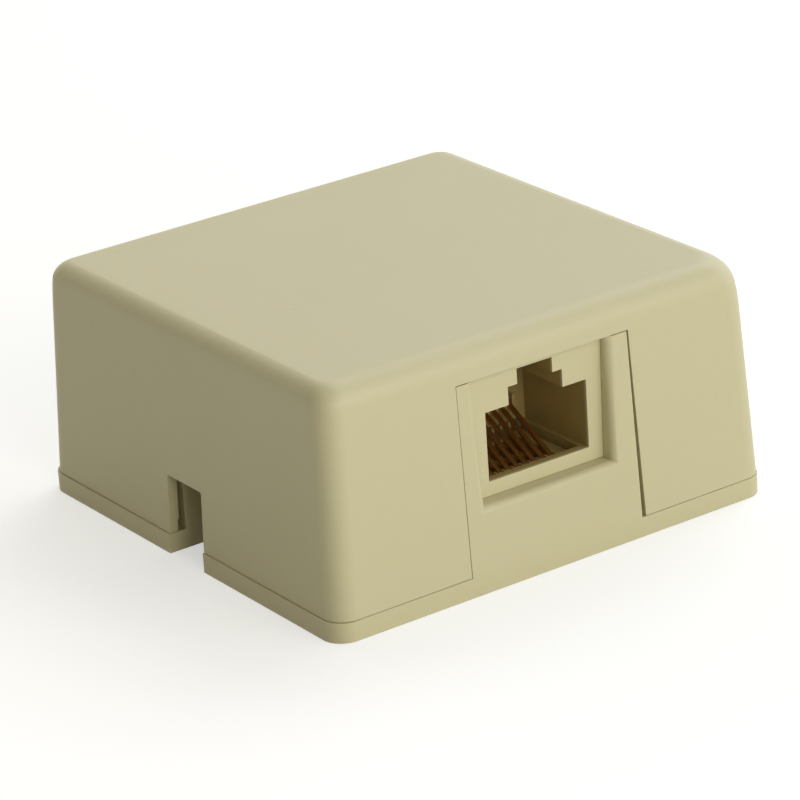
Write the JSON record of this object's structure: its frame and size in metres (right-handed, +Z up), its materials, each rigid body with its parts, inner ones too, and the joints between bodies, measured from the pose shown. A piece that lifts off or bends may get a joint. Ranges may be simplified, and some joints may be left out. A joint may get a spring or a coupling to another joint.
{
  "type": "surface mount jack box",
  "caption": "Small surface mount box with a drafted clip-on cover over a base plate that holds a modular jack, a circuit board and punch-down contact blocks.",
  "frame": {"origin": "middle of the flat underside of the base plate", "axes": "+X to the right along the front, +Y from the jack's face to the back, +Z up away from the surface it is mounted on"},
  "size_m": [0.052, 0.0516, 0.0248],
  "materials": {
    "base_plastic": "satin",
    "cover_plastic": "satin",
    "jack_plastic": "satin",
    "carrier_plastic": "matte",
    "board_laminate": "satin",
    "idc_plastic": "satin",
    "screw_steel": "bright zinc",
    "contact_metal": "bright",
    "idc_metal": "tinned"
  },
  "bodies": {
    "base_unit": {"base": "base_plastic", "jack_housing": "jack_plastic", "contact_carrier": "carrier_plastic", "circuit_board": "board_laminate", "idc_block_left": "idc_plastic", "idc_block_right": "idc_plastic", "board_screws": "screw_steel", "contact_wire_1": "contact_metal", "contact_wire_2": "contact_metal", "contact_wire_3": "contact_metal", "contact_wire_4": "contact_metal", "contact_wire_5": "contact_metal", "contact_wire_6": "contact_metal", "contact_wire_7": "contact_metal", "contact_wire_8": "contact_metal", "idc_contact_1": "idc_metal", "idc_contact_2": "idc_metal", "idc_contact_3": "idc_metal", "idc_contact_4": "idc_metal", "idc_contact_5": "idc_metal", "idc_contact_6": "idc_metal", "idc_contact_7": "idc_metal", "idc_contact_8": "idc_metal"},
    "cover": {"cover": "cover_plastic"}
  },
  "joints": [
    {"name": "cover_lift", "type": "slide", "parent": "base_unit", "child": "cover", "axis": [0, 0, 1], "range_m": [0, 0.03]}
  ]
}
